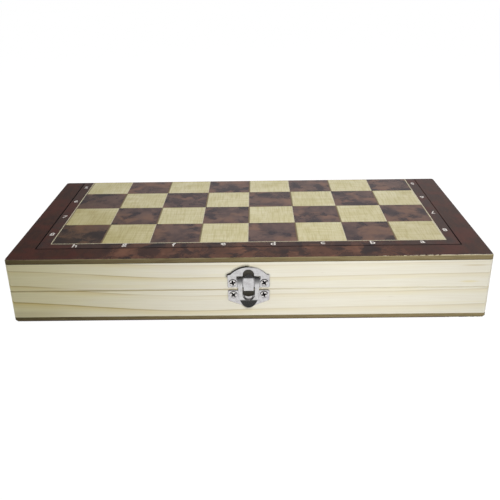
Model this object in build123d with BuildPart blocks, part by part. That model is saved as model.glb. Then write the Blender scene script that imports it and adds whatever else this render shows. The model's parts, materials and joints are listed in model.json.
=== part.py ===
"""Folding chess and backgammon board, closed.

Two equal trays of pine rails on printed boards are joined by two butt hinges at the back
and held shut by a swing hasp at the front. Millimetres, +X right, +Y back, +Z up.
The origin is the middle of the underside.
"""

from build123d import *

import os
from math import cos, radians, sin

# The box
board_width = 340.0
half_depth = 170.0
rail_height = 21.0
rail_thickness = 9.0
panel_thickness = 3.5
print_thickness = 0.3
print_fit = 0.1
corner_lap = 3.5
corner_radius = 2.5
parting_ease = 0.4
lid_panel_ease = 0.5
base_panel_ease = 1.0

# The hinges, with the leaf's width from the pin's axis
hinge_spacing = 200.0
hinge_length = 25.0
leaf_width = 7.6
leaf_thickness = 0.8
leaf_corner = 0.6
mortise_fit = 0.1
knuckle_count = 3
knuckle_gap = 0.2
roll_seam = 0.25
hinge_pin_radius = 0.9
hinge_pin_fit = 0.05
barrel_clearance = 0.35

# The hinge screws, countersunk in the leaves
hinge_screw_spacing = 16.0
hinge_screw_setback = 4.9
hinge_screw_radius = 0.8
hinge_screw_head_radius = 1.6
hinge_screw_length = 8.0

# The hasp's sheet and its upper plate, with heights from the parting line
hasp_sheet = 0.8
hasp_edge = 0.35
plate_width = 29.8
plate_foot = 1.7
plate_shoulder = 12.0
plate_crown = 17.8
crown_radius = 17.0
crown_blend = 1.2
plate_corner = 0.9
window_top = 15.5

# The sprung tongue, folded up from the plate's foot to trap the arm's pivot bar
tongue_width = 7.0
tongue_fit = 0.15
tongue_foot = -0.7
tongue_tip_angle = 40.0
tongue_tip_length = 2.4

# The swing arm
pivot_height = 9.3
pivot_radius = 0.9
pivot_fit = 0.1
arm_width = 16.0
arm_foot_width = 13.6
arm_standoff = 0.3
slot_width = 8.8
slot_end = -8.0
lip_start = -6.6
lip_bend_radius = 3.0
lip_angle = 50.0
lip_length = 4.4
arm_end = -11.4

# The catch, notched under the tongue, with a hood pressed out of its sheet and open at the top
catch_width = 29.5
catch_top = -0.2
catch_side = -8.5
catch_point = -14.2
catch_corner = 1.5
catch_point_radius = 8.0
notch_width = 8.0
hood_width = 7.0
hood_mouth = -3.9
hood_depth = 3.8
hood_reach = 2.6
hood_sheet = 0.7

# The hasp's screws, seated in dished holes
plate_screw_spacing = 22.2
plate_screw_height = 5.5
catch_screw_spacing = 21.6
catch_screw_height = -3.9
hasp_screw_radius = 1.2
hasp_screw_length = 7.5
hasp_screw_head_radius = 2.3
hasp_screw_rim = 0.35
dish_radius = 2.8
hasp_recess_arm = 1.3
hasp_recess_depth = 0.5
hasp_recess_width = 0.6
screw_fit = 0.05
screw_sides = 10

# Levels and edges worked out from the sizes above
tray_floor = print_thickness + panel_thickness
parting = tray_floor + rail_height
box_height = 2 * parting
lid_ceiling = box_height - tray_floor
back_face = half_depth / 2
end_face = board_width / 2
knuckle_bore = hinge_pin_radius + hinge_pin_fit
knuckle_radius = knuckle_bore + leaf_thickness
barrel_notch = knuckle_radius + barrel_clearance
barrel_notch_length = hinge_length + 2 * barrel_clearance

parting_plane = Plane.XY.offset(parting)
hasp_face = Plane(origin=(0, -back_face, parting), x_dir=(1, 0, 0), z_dir=(0, -1, 0))
hasp_side = Plane(origin=(0, -back_face, parting), x_dir=(0, -1, 0), z_dir=(-1, 0, 0))
hinge_section = Plane(origin=(0, back_face, parting), x_dir=(0, 1, 0), z_dir=(1, 0, 0))
hinge_centres = {"left": -hinge_spacing / 2, "right": hinge_spacing / 2}

os.makedirs("parts", exist_ok=True)


def save(part, name):
    """Labels one piece and writes it as its own file."""
    part.label = name
    export_step(part, f"parts/{name}.step")


def as_lid(part):
    """The lid's counterpart of a base piece, turned over at the parting plane."""
    return mirror(part, about=parting_plane)


def pair(spacing, height):
    """The places of two screws side by side, across and above the parting line."""
    return [(-spacing / 2, height), (spacing / 2, height)]


def shank(seat, radius, start, end):
    """A shank, or the bore for one, along the seat plane's axis, with few sides."""
    with BuildPart() as rod:
        with BuildSketch(seat.offset(start)):
            RegularPolygon(radius, screw_sides)
        extrude(amount=end - start)
    return rod.part


# The two boards, each eased round its printed side
def board(level, ease, printed_top):
    """A board with rounded corners, resting on the level given."""
    with BuildPart() as panel:
        with BuildSketch(Plane.XY.offset(level)):
            RectangleRounded(board_width, half_depth, corner_radius)
        extrude(amount=panel_thickness)
        printed = panel.faces().sort_by(Axis.Z)[-1 if printed_top else 0]
        chamfer(printed.edges(), ease)
    return panel.part


save(board(print_thickness, base_panel_ease, False), "base_panel")
save(board(lid_ceiling, lid_panel_ease, True), "lid_panel")


# The printed sheets: chess outside, within the eased edges, and backgammon inside the trays
def chess_print(level, ease):
    """The outer print, which stops where the board's edge is eased."""
    with BuildPart() as sheet:
        with BuildSketch(Plane.XY.offset(level)):
            RectangleRounded(board_width - 2 * ease, half_depth - 2 * ease, corner_radius - ease)
        extrude(amount=print_thickness)
    return sheet.part


def backgammon_print(level):
    """The inner print, trimmed to the space between the rails."""
    margin = rail_thickness + print_fit
    with BuildPart() as sheet:
        with BuildSketch(Plane.XY.offset(level)):
            Rectangle(board_width - 2 * margin, half_depth - 2 * margin)
        extrude(amount=print_thickness)
    return sheet.part


save(chess_print(0, base_panel_ease), "base_chess_print")
save(chess_print(box_height - print_thickness, lid_panel_ease), "lid_chess_print")
save(backgammon_print(tray_floor), "base_backgammon_print")
save(backgammon_print(lid_ceiling - print_thickness), "lid_backgammon_print")


# The rails: the front and back ones run full length, and their laps cover the end rails
def hinge_screw_seats(centre):
    """The planes in which the two screw heads of one hinge leaf lie."""
    row = back_face - hinge_screw_setback
    return [Plane((centre + side * hinge_screw_spacing / 2, row, parting)) for side in (-1, 1)]


def hasp_screw_seats(places):
    """The planes of the hasp's screws, where their heads meet the front rails."""
    return [Plane(hasp_face.from_local_coords((*place, 0)), z_dir=(0, -1, 0)) for place in places]


def long_rail(side):
    """The base's front rail (side -1) or back rail (side 1), rebated at both ends."""
    rebate = rail_thickness - corner_lap
    middle = side * (back_face - rail_thickness / 2)
    rebate_middle = side * (back_face - rail_thickness + rebate / 2)
    rebate_end = end_face - rail_thickness / 2
    with BuildPart() as rail:
        with BuildSketch(Plane.XY.offset(tray_floor)):
            with Locations((0, middle)):
                Rectangle(board_width, rail_thickness)
            with Locations((-rebate_end, rebate_middle), (rebate_end, rebate_middle)):
                Rectangle(rail_thickness, rebate, mode=Mode.SUBTRACT)
        extrude(amount=rail_height)
        outer_corners = rail.edges().filter_by(Axis.Z).sort_by(Axis.Y, reverse=side > 0)[:2]
        fillet(outer_corners, min(corner_radius, corner_lap - print_fit))
        parting_edges = rail.faces().sort_by(Axis.Z)[-1].edges()
        chamfer(parting_edges.sort_by(Axis.Y, reverse=side > 0)[:1], parting_ease)
    return rail.part


def front_rail(screws_at):
    """The base's front rail, bored for two hasp screws."""
    with BuildPart() as rail:
        add(long_rail(-1))
        for seat in hasp_screw_seats(screws_at):
            bore = shank(seat, hasp_screw_radius + screw_fit, -hasp_screw_length - screw_fit, 0)
            add(bore, mode=Mode.SUBTRACT)
    return rail.part


def back_rail():
    """The base's back rail, let in for both hinges."""
    with BuildPart() as rail:
        add(long_rail(1))
        for centre in hinge_centres.values():
            with BuildSketch(parting_plane):
                with Locations((centre, back_face - leaf_width / 2)):
                    Rectangle(hinge_length + 2 * mortise_fit, leaf_width + 2 * mortise_fit)
            extrude(amount=-leaf_thickness, mode=Mode.SUBTRACT)
            with BuildSketch(parting_plane):
                with Locations((centre, back_face - barrel_notch / 2)):
                    Rectangle(barrel_notch_length, barrel_notch)
            extrude(amount=-barrel_notch, mode=Mode.SUBTRACT)
            for seat in hinge_screw_seats(centre):
                bore = shank(seat, hinge_screw_radius + screw_fit, -hinge_screw_length - screw_fit, 0)
                add(bore, mode=Mode.SUBTRACT)
    return rail.part


def end_rail(side):
    """The base's left rail (side -1) or right rail (side 1), between the laps."""
    with BuildPart() as rail:
        with BuildSketch(Plane.XY.offset(tray_floor)):
            with Locations((side * (end_face - rail_thickness / 2), 0)):
                Rectangle(rail_thickness, half_depth - 2 * corner_lap)
        extrude(amount=rail_height)
        parting_edges = rail.faces().sort_by(Axis.Z)[-1].edges()
        chamfer(parting_edges.sort_by(Axis.X, reverse=side > 0)[:1], parting_ease)
    return rail.part


save(front_rail(pair(catch_screw_spacing, catch_screw_height)), "base_front_rail")
save(as_lid(front_rail(pair(plate_screw_spacing, -plate_screw_height))), "lid_front_rail")
save(back_rail(), "base_back_rail")
save(as_lid(back_rail()), "lid_back_rail")
save(end_rail(-1), "base_left_rail")
save(as_lid(end_rail(-1)), "lid_left_rail")
save(end_rail(1), "base_right_rail")
save(as_lid(end_rail(1)), "lid_right_rail")


# The butt hinges: sheet leaves rolled into knuckles about a pin along the back edge
def knuckle_places(first):
    """The middle of every second knuckle along the hinge, counted from the first."""
    pitch = hinge_length / knuckle_count
    return [(index + 0.5) * pitch - hinge_length / 2 for index in range(first, knuckle_count, 2)]


def hinge_leaf(centre, first):
    """A leaf in the base's mortise, rolled over the pin into every second knuckle."""
    knuckle_length = hinge_length / knuckle_count - knuckle_gap
    neck_start = barrel_notch + leaf_thickness
    neck_end = knuckle_bore + leaf_thickness / 2
    with BuildPart() as leaf:
        with BuildSketch(parting_plane):
            with Locations((centre, back_face - (leaf_width + barrel_notch) / 2)):
                Rectangle(hinge_length, leaf_width - barrel_notch)
        extrude(amount=-leaf_thickness)
        chamfer(leaf.edges().filter_by(Axis.Z).group_by(Axis.Y)[0], leaf_corner)
        for place in knuckle_places(first):
            with BuildSketch(hinge_section.offset(centre + place)):
                Circle(knuckle_radius)
                with Locations((-neck_end, 0)):
                    Rectangle(neck_start - neck_end, leaf_thickness, align=(Align.MAX, Align.MAX))
                Circle(knuckle_bore, mode=Mode.SUBTRACT)
                with Locations((-knuckle_bore / 2, 0)):
                    Rectangle(
                        knuckle_radius,
                        roll_seam,
                        align=(Align.MAX, Align.MIN),
                        mode=Mode.SUBTRACT,
                    )
            extrude(amount=knuckle_length / 2, both=True)
        with Locations(*hinge_screw_seats(centre)):
            CounterSinkHole(
                hinge_screw_radius + screw_fit,
                hinge_screw_head_radius + screw_fit,
                counter_sink_angle=90,
            )
    return leaf.part


def hinge_pin(centre):
    """A plain pin as long as the barrel."""
    with BuildPart() as pin:
        with BuildSketch(hinge_section.offset(centre)):
            Circle(hinge_pin_radius)
        extrude(amount=hinge_length / 2, both=True)
    return pin.part


def hinge_screws():
    """The four countersunk screws that hold the base's two leaves, as separate solids."""
    head_height = hinge_screw_head_radius - hinge_screw_radius
    with BuildPart() as screws:
        for centre in hinge_centres.values():
            for seat in hinge_screw_seats(centre):
                with BuildSketch(seat):
                    RegularPolygon(hinge_screw_head_radius, screw_sides)
                with BuildSketch(seat.offset(-head_height)):
                    RegularPolygon(hinge_screw_radius, screw_sides)
                loft(ruled=True)
                add(shank(seat, hinge_screw_radius, -hinge_screw_length, -head_height))
    return screws.part


for name, centre in hinge_centres.items():
    save(hinge_leaf(centre, 0), f"{name}_hinge_base_leaf")
    save(as_lid(hinge_leaf(centre, 1)), f"{name}_hinge_lid_leaf")
    save(hinge_pin(centre), f"{name}_hinge_pin")
save(hinge_screws(), "base_hinge_screws")
save(as_lid(hinge_screws()), "lid_hinge_screws")

# The hasp's depths, counted outwards from the front rails, follow from its pivot bar
bar_depth = pivot_fit + pivot_radius
bar_front = bar_depth + pivot_radius
arm_back = hasp_sheet + arm_standoff
arm_sheet = bar_front - arm_back
arm_middle = arm_back + arm_sheet / 2
tongue_middle = bar_front + pivot_fit + hasp_sheet / 2
root_middle = hasp_sheet / 2
fold_height = tongue_foot + (tongue_middle - root_middle) / 2 + hasp_sheet / 2
bend_radius = tongue_middle - bar_depth

# The sprung tongue: down from the plate, folded forward and up, then bent in over the bar
with BuildPart() as sprung_tongue:
    with BuildSketch(hasp_side):
        with BuildLine():
            root = Line((root_middle, plate_foot + hasp_sheet), (root_middle, fold_height))
            fold = TangentArc(root @ 1, (tongue_middle, fold_height), tangent=root % 1)
            face = Line(fold @ 1, (tongue_middle, pivot_height))
            bend_end = (
                bar_depth + bend_radius * cos(radians(tongue_tip_angle)),
                pivot_height + bend_radius * sin(radians(tongue_tip_angle)),
            )
            bend = TangentArc(face @ 1, bend_end, tangent=face % 1)
            tip = Line(bend @ 1, bend @ 1 + (bend % 1) * tongue_tip_length)
        trace(line_width=hasp_sheet)
    extrude(amount=tongue_width / 2, both=True)
    with BuildSketch(hasp_face):
        with Locations((0, pivot_height)):
            Ellipse(tongue_width / 2, (tip @ 1).Y + hasp_sheet / 4 - pivot_height)
            Rectangle(tongue_width, pivot_height, align=(Align.CENTER, Align.MAX))
    extrude(amount=tongue_middle + hasp_sheet, mode=Mode.INTERSECT)

with BuildPart() as latch_plate:
    with BuildSketch(hasp_face) as plate_outline:
        with Locations((0, plate_crown - crown_radius)):
            Circle(crown_radius)
        with Locations((0, plate_shoulder)):
            Rectangle(
                2 * crown_radius,
                2 * crown_radius,
                align=(Align.CENTER, Align.MAX),
                mode=Mode.SUBTRACT,
            )
            Rectangle(plate_width, plate_shoulder - plate_foot, align=(Align.CENTER, Align.MAX))
        columns = plate_outline.vertices().group_by(Axis.X)
        fillet(columns[1] + columns[-2], crown_blend)
        columns = plate_outline.vertices().group_by(Axis.X)
        fillet(columns[0] + columns[-1], plate_corner)
        window_radius = tongue_width / 2 + tongue_fit
        with Locations((0, window_top - window_radius)):
            Circle(window_radius, mode=Mode.SUBTRACT)
            Rectangle(
                2 * window_radius,
                window_top - window_radius - pivot_height,
                align=(Align.CENTER, Align.MAX),
                mode=Mode.SUBTRACT,
            )
        with Locations((0, pivot_height)):
            Rectangle(
                arm_width + 2 * pivot_fit,
                2 * (pivot_radius + pivot_fit),
                mode=Mode.SUBTRACT,
            )
    extrude(amount=hasp_sheet)
    chamfer(latch_plate.faces().sort_by(Axis.Y)[0].edges(), hasp_edge)
    with Locations(*hasp_screw_seats(pair(plate_screw_spacing, plate_screw_height))):
        Cone(
            hasp_screw_radius + screw_fit,
            dish_radius,
            hasp_sheet,
            align=(Align.CENTER, Align.CENTER, Align.MIN),
            mode=Mode.SUBTRACT,
        )
    add(sprung_tongue.part)

save(latch_plate.part, "latch_plate")

# The swing arm: a slotted strip, narrower at its rolled round lip, on a bar in the plate's slot
with BuildPart() as latch_arm:
    with BuildSketch(hasp_side):
        with BuildLine():
            leg = Line((arm_middle, pivot_height), (arm_middle, lip_start))
            curl_end = (
                arm_middle + lip_bend_radius * (1 - cos(radians(lip_angle))),
                lip_start - lip_bend_radius * sin(radians(lip_angle)),
            )
            curl = TangentArc(leg @ 1, curl_end, tangent=leg % 1)
            Line(curl @ 1, curl @ 1 + (curl % 1) * lip_length)
        trace(line_width=arm_sheet)
    extrude(amount=arm_width / 2, both=True)
    with BuildSketch(hasp_face):
        with BuildLine():
            sides = Polyline(
                (-arm_foot_width / 2, lip_start),
                (-arm_width / 2, pivot_height + pivot_radius),
                (arm_width / 2, pivot_height + pivot_radius),
                (arm_foot_width / 2, lip_start),
            )
            ThreePointArc(sides @ 1, (0, arm_end), sides @ 0)
        make_face()
        with Locations((0, slot_end + slot_width / 2)):
            Circle(slot_width / 2, mode=Mode.SUBTRACT)
            Rectangle(
                slot_width,
                pivot_height - slot_end,
                align=(Align.CENTER, Align.MIN),
                mode=Mode.SUBTRACT,
            )
    extrude(amount=arm_middle + lip_bend_radius + lip_length, mode=Mode.INTERSECT)
    with BuildSketch(hasp_side):
        with Locations((bar_depth, pivot_height)):
            Circle(pivot_radius)
    extrude(amount=arm_width / 2, both=True)

save(latch_arm.part, "latch_arm")

# The catch: a pointed plate whose hood stands out through the arm's slot
hood_radius = hood_width / 2
hood_axis_depth = hasp_sheet + hood_reach - hood_radius
hood_section = hasp_face.offset(hood_axis_depth)


def bowl(radius, depth):
    """Half a round bowl that hangs from the hood's mouth, about the hood's upright axis."""
    with BuildPart() as half:
        with BuildSketch(hood_section):
            with BuildLine():
                wall = TangentArc((0, hood_mouth - depth), (radius, hood_mouth), tangent=(1, 0))
                Polyline(wall @ 1, (0, hood_mouth), wall @ 0)
            make_face()
        revolve(axis=Axis(hood_section.origin, (0, 0, 1)))
    return half.part


with BuildPart() as hood:
    add(bowl(hood_radius, hood_depth))
    add(bowl(hood_radius - hood_sheet, hood_depth - hood_sheet), mode=Mode.SUBTRACT)
    split(bisect_by=hasp_face, keep=Keep.TOP)

with BuildPart() as latch_catch:
    with BuildSketch(hasp_face) as catch_outline:
        with BuildLine():
            Polyline(
                (-catch_width / 2, catch_top),
                (catch_width / 2, catch_top),
                (catch_width / 2, catch_side),
                (0, catch_point),
                (-catch_width / 2, catch_side),
                close=True,
            )
        make_face()
        rows = catch_outline.vertices().group_by(Axis.Y)
        fillet(rows[0], catch_point_radius)
        rows = catch_outline.vertices().group_by(Axis.Y)
        fillet(rows[-1] + rows[-2], catch_corner)
        with Locations((0, catch_top)):
            Rectangle(
                notch_width,
                catch_top - hood_mouth,
                align=(Align.CENTER, Align.MAX),
                mode=Mode.SUBTRACT,
            )
    extrude(amount=hasp_sheet)
    chamfer(latch_catch.faces().sort_by(Axis.Y)[0].edges(), hasp_edge)
    add(bowl(hood_radius - hood_sheet, hood_depth - hood_sheet), mode=Mode.SUBTRACT)
    add(hood.part)
    with Locations(*hasp_screw_seats(pair(catch_screw_spacing, catch_screw_height))):
        Cone(
            hasp_screw_radius + screw_fit,
            dish_radius,
            hasp_sheet,
            align=(Align.CENTER, Align.CENTER, Align.MIN),
            mode=Mode.SUBTRACT,
        )

save(latch_catch.part, "latch_catch")


# The hasp's screws: coned heads with a cross recess, resting in the dished holes
def hasp_screws(places, turns):
    """Screws at the places given, their recesses turned by the degrees given."""
    dish_slope = hasp_sheet / (dish_radius - hasp_screw_radius - screw_fit)
    rim_foot = (hasp_screw_head_radius - hasp_screw_radius - screw_fit) * dish_slope + screw_fit
    rim_top = rim_foot + hasp_screw_rim
    with BuildPart() as screws:
        for seat, turn in zip(hasp_screw_seats(places), turns):
            with BuildSketch(Plane(seat.origin, x_dir=(1, 0, 0), z_dir=(0, 0, -1))):
                with BuildLine():
                    Polyline(
                        (0, rim_top),
                        (hasp_screw_head_radius, rim_top),
                        (hasp_screw_head_radius, rim_foot),
                        (hasp_screw_radius, screw_fit),
                        (0, screw_fit),
                        close=True,
                    )
                make_face()
            revolve(axis=Axis(seat.origin, seat.z_dir))
            add(shank(seat, hasp_screw_radius, -hasp_screw_length, screw_fit))
            with BuildSketch(seat.offset(rim_top)):
                Rectangle(2 * hasp_recess_arm, hasp_recess_width, rotation=turn)
                Rectangle(hasp_recess_width, 2 * hasp_recess_arm, rotation=turn)
            extrude(amount=-hasp_recess_depth, mode=Mode.SUBTRACT)
    return screws.part


save(hasp_screws(pair(plate_screw_spacing, plate_screw_height), (5, 35)), "latch_screws")
save(hasp_screws(pair(catch_screw_spacing, catch_screw_height), (40, 15)), "catch_screws")
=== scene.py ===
# %% [markdown]
# # A folding chess and backgammon board
#
# The box is shut and lies flat. Its two halves are pine trays under printed boards, hinged at the back
# and held by a small nickel hasp at the front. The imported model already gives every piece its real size
# and place, so this lesson only adds what the eye reads: wood, print, ink, metal, wear and light.

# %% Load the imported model
import json
import math

import bmesh
import bpy
import numpy as np
from mathutils import Matrix, Vector
from mathutils.geometry import delaunay_2d_cdt

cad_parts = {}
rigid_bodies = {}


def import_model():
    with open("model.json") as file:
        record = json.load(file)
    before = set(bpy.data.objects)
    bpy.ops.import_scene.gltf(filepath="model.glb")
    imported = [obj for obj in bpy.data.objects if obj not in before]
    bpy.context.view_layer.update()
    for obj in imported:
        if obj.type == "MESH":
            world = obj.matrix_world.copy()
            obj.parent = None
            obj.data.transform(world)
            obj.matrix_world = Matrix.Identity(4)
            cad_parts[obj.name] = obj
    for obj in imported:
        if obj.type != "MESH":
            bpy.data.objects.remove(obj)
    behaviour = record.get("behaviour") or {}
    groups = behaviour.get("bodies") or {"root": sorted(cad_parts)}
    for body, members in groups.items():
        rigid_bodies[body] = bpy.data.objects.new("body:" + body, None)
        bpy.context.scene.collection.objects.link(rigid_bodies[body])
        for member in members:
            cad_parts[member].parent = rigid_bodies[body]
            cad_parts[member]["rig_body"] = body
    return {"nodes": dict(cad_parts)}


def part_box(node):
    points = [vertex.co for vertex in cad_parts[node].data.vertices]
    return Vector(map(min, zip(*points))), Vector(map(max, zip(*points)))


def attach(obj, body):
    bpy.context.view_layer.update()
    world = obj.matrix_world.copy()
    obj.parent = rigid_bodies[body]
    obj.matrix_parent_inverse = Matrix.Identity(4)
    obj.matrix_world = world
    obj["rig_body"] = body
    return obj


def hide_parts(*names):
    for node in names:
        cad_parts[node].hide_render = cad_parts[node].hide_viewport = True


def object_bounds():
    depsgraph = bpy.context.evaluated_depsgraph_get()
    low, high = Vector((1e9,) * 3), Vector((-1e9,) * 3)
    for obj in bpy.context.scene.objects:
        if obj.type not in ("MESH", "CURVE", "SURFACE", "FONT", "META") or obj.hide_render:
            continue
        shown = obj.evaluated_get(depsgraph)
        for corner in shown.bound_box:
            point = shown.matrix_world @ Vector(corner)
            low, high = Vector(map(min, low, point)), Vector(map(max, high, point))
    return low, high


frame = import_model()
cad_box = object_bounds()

MM = 0.001


def corners_in_mm(node):
    """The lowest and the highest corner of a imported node."""
    return [np.array(corner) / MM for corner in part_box(node)]


def put(name, data):
    """A new object in the scene."""
    made = bpy.data.objects.new(name, data)
    bpy.context.scene.collection.objects.link(made)
    return made


# %% [markdown]
# ## The camera
#
# The photograph looks down on the hasp side from the front. A camera is four things here: the point it
# aims at, the direction it stands in, how far away it is, and how long its lens is. These values put the
# box's corners where the photograph has them, to within a pixel.

# %% Place the camera
picture_size = 500
focal_pixels = 651.73
sensor_width = 36.0
camera_azimuth = math.radians(0.676)
camera_elevation = math.radians(24.122)
camera_roll = math.radians(-0.927)
camera_distance = 541.58 * MM
camera_target = Vector((0.384, 0.0, 17.116)) * MM

backward = Vector((
    math.sin(camera_azimuth) * math.cos(camera_elevation),
    -math.cos(camera_azimuth) * math.cos(camera_elevation),
    math.sin(camera_elevation),
))
level_right = Vector((math.cos(camera_azimuth), math.sin(camera_azimuth), 0.0))
level_up = backward.cross(level_right)
rolled_right = level_right * math.cos(camera_roll) + level_up * math.sin(camera_roll)
rolled_up = level_up * math.cos(camera_roll) - level_right * math.sin(camera_roll)

camera_data = bpy.data.cameras.new("camera")
camera_data.sensor_width = sensor_width
camera_data.lens = focal_pixels * sensor_width / picture_size
camera = put("camera", camera_data)
axes = Matrix((rolled_right, rolled_up, backward)).transposed().to_4x4()
camera.matrix_world = Matrix.Translation(camera_target + backward * camera_distance) @ axes
bpy.context.scene.camera = camera
bpy.context.scene.view_settings.view_transform = "Standard"
print("lens", round(camera_data.lens, 2), "mm")

# %% [markdown]
# ## Helpers for finishes
#
# A finish is a small network of nodes. Writing `node.inputs[...]` by hand hides the recipe, so a small
# set of classes gives each step a plain name: plus, times, between, noise, ramp, mix, bump. All patterns
# start from Object coordinates, turned into millimetres, because then a ring of 4 mm is written as 4.


# %% Colours
def seen(red, green, blue):
    """A colour as the eye names it, 0 to 255, turned into the linear values that light is summed in."""
    values = np.array((red, green, blue)) / 255.0
    linear = np.where(values <= 0.04045, values / 12.92, ((values + 0.055) / 1.055) ** 2.4)
    return (*linear.tolist(), 1.0)


def grey(brightness):
    """A grey of light, from 0 for black to 1 for white."""
    return (brightness, brightness, brightness, 1.0)


white = grey(1.0)
print("a grey that the eye names 128 is", round(seen(128, 128, 128)[0], 3), "of white's light")


# %% Nodes and sums
class Workbench:
    """Makes the nodes of one tree and links them. A value may be a number or another node's socket."""

    def __init__(self, tree):
        self.tree = tree

    def feed(self, socket, value):
        """Links a socket to another one, or writes a plain value on it."""
        if isinstance(value, bpy.types.NodeSocket):
            self.tree.links.new(value, socket)
        else:
            socket.default_value = value

    def node(self, kind, sockets=(), **settings):
        """A node of a kind, with its sockets fed and its settings made."""
        made = self.tree.nodes.new("ShaderNode" + kind)
        for key, value in settings.items():
            setattr(made, key, value)
        for socket, value in dict(sockets).items():
            self.feed(made.inputs[socket], value)
        return made

    def vector(self, operation, *values, **named):
        """A vector sum, product, scaling or length."""
        made = self.node("VectorMath", {**dict(enumerate(values)), **named}, operation=operation)
        return made.outputs["Value" if operation == "LENGTH" else "Vector"]

    def math(self, operation, *values, clamp=False):
        """A sum on numbers. A clamped result stays between 0 and 1."""
        return self.node("Math", dict(enumerate(values)), operation=operation, use_clamp=clamp).outputs[0]

    def plus(self, first, second, clamp=False):
        return self.math("ADD", first, second, clamp=clamp)

    def minus(self, first, second, clamp=False):
        return self.math("SUBTRACT", first, second, clamp=clamp)

    def times(self, first, second, clamp=False):
        return self.math("MULTIPLY", first, second, clamp=clamp)

    def apart(self, first, second):
        """How far apart two numbers are."""
        return self.math("ABSOLUTE", self.minus(first, second))

    def axes(self, vector):
        """The three numbers of a vector."""
        return self.node("SeparateXYZ", {0: vector}).outputs

    def hypotenuse(self, across, up):
        """The root of across^2 + up^2."""
        return self.vector("LENGTH", self.node("CombineXYZ", {0: across, 1: up}).outputs[0])


# %% Steps and colours
class Palette(Workbench):
    """The workbench with steps, ramps and mixes."""

    def between(self, value, low, high):
        """0 before low, 1 past high and a smooth step between them. Low may be the larger number."""
        limits = {0: value, 1: low, 2: high}
        return self.node("MapRange", limits, interpolation_type="SMOOTHSTEP").outputs[0]

    def below(self, value, low, high):
        """The same step downwards: 1 below low and 0 above high."""
        return self.minus(1.0, self.between(value, low, high))

    def ramp(self, factor, stops, smooth=True):
        """A colour for each value, from stops of (place, colour)."""
        made = self.node("ValToRGB", {0: factor})
        band = made.color_ramp
        band.interpolation = "EASE" if smooth else "LINEAR"
        while len(band.elements) < len(stops):
            band.elements.new(0.5)
        for element, (place, colour) in zip(band.elements, stops):
            element.position = place
            element.color = colour
        return made.outputs[0]

    def mix(self, factor, first, second, blend="MIX"):
        """Two colours mixed: the first where the factor is 0, and the second where it is 1."""
        values = {0: factor, 6: first, 7: second}
        return self.node("Mix", values, data_type="RGBA", blend_type=blend).outputs[2]

    def tinted(self, colour, tone, share=1.0):
        """A share of the colour is darkened by a tone."""
        return self.mix(share, colour, tone, "MULTIPLY")

    def patch(self, colour, pattern, low, high, share, tone):
        """The colour, with a share of a tone laid on where a pattern rises from low to high."""
        return self.mix(self.times(self.between(pattern, low, high), share), colour, tone)


# %% Patterns and finishes
class Finish(Palette):
    """A node material in the making. Its mm is the place in millimetres, and x, y and z are its parts."""

    def __init__(self, name):
        self.material = bpy.data.materials.new(name)
        self.material.use_nodes = True
        super().__init__(self.material.node_tree)
        self.shader = self.tree.nodes["Principled BSDF"]
        place = self.node("TexCoord").outputs["Object"]
        self.mm = self.vector("SCALE", place, Scale=1.0 / MM)
        self.x, self.y, self.z = self.axes(self.mm)[:3]

    def noise(self, vector, size, detail=3.0, roughness=0.5, output=0):
        """Soft random blotches, about as many millimetres wide as the size given."""
        sockets = {"Vector": vector, "Scale": 1.0 / size, "Detail": detail, "Roughness": roughness}
        return self.node("TexNoise", sockets).outputs[output]

    def stretch(self, vector, x=1.0, y=1.0, z=1.0):
        """The pattern drawn out by the factors given along each axis."""
        return self.vector("MULTIPLY", vector, (1.0 / x, 1.0 / y, 1.0 / z))

    def streaks(self, vector, drawn_out, size, **noise):
        """Noise drawn out along X."""
        return self.noise(self.stretch(vector, drawn_out), size, **noise)

    def warp(self, vector, size, reach, detail=2.0):
        """The vector pushed about by noise, by up to about half the reach in millimetres."""
        push = self.noise(vector, size, detail, output=1)
        push = self.vector("SUBTRACT", push, (0.5, 0.5, 0.5))
        return self.vector("ADD", vector, self.vector("SCALE", push, Scale=reach))

    def open_to_air(self, reach):
        """1 on an open surface, less where others stand nearer than the reach in millimetres."""
        return self.node("AmbientOcclusion", {"Distance": reach * MM}, samples=8).outputs["AO"]

    def bump(self, height, depth, normal=None):
        """Bends the shading by a height map, which is as many millimetres deep as given."""
        made = self.node("Bump", {"Height": height, "Distance": depth * MM, "Strength": 1.0})
        if normal:
            self.feed(made.inputs["Normal"], normal)
        return made.outputs["Normal"]

    def finish(self, **sockets):
        """Sets the shader's sockets and gives the material."""
        for socket, value in sockets.items():
            self.feed(self.shader.inputs[socket.replace("_", " ")], value)
        return self.material


def wear(node, material):
    """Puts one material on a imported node."""
    mesh = frame["nodes"][node].data
    mesh.materials.clear()
    mesh.materials.append(material)


# %% [markdown]
# ## Pine
#
# Each rail is sawn from a log, and its grain is where the flat face cuts the log's rings. So the finish
# is a solid log: the distance from a pith line, divided by a ring's width, counts the rings, and the
# part after the point runs from 0 at a ring's pale spring wood to 1 at its dark summer edge. The pith
# lies far behind the face, which therefore meets each ring at a shallow angle and shows few, broad
# lines. On the photographed face they sink to the right as grain does past a knot, and then run level.

# %% The log's rings
half_board = cad_box[1].x / MM
steps_down = (0.60, 1.06)


def share_to_left(f, length):
    """0 at the right end of the board and 1 at the left."""
    return f.math("DIVIDE", f.minus(half_board, length), 2.0 * half_board)


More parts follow.
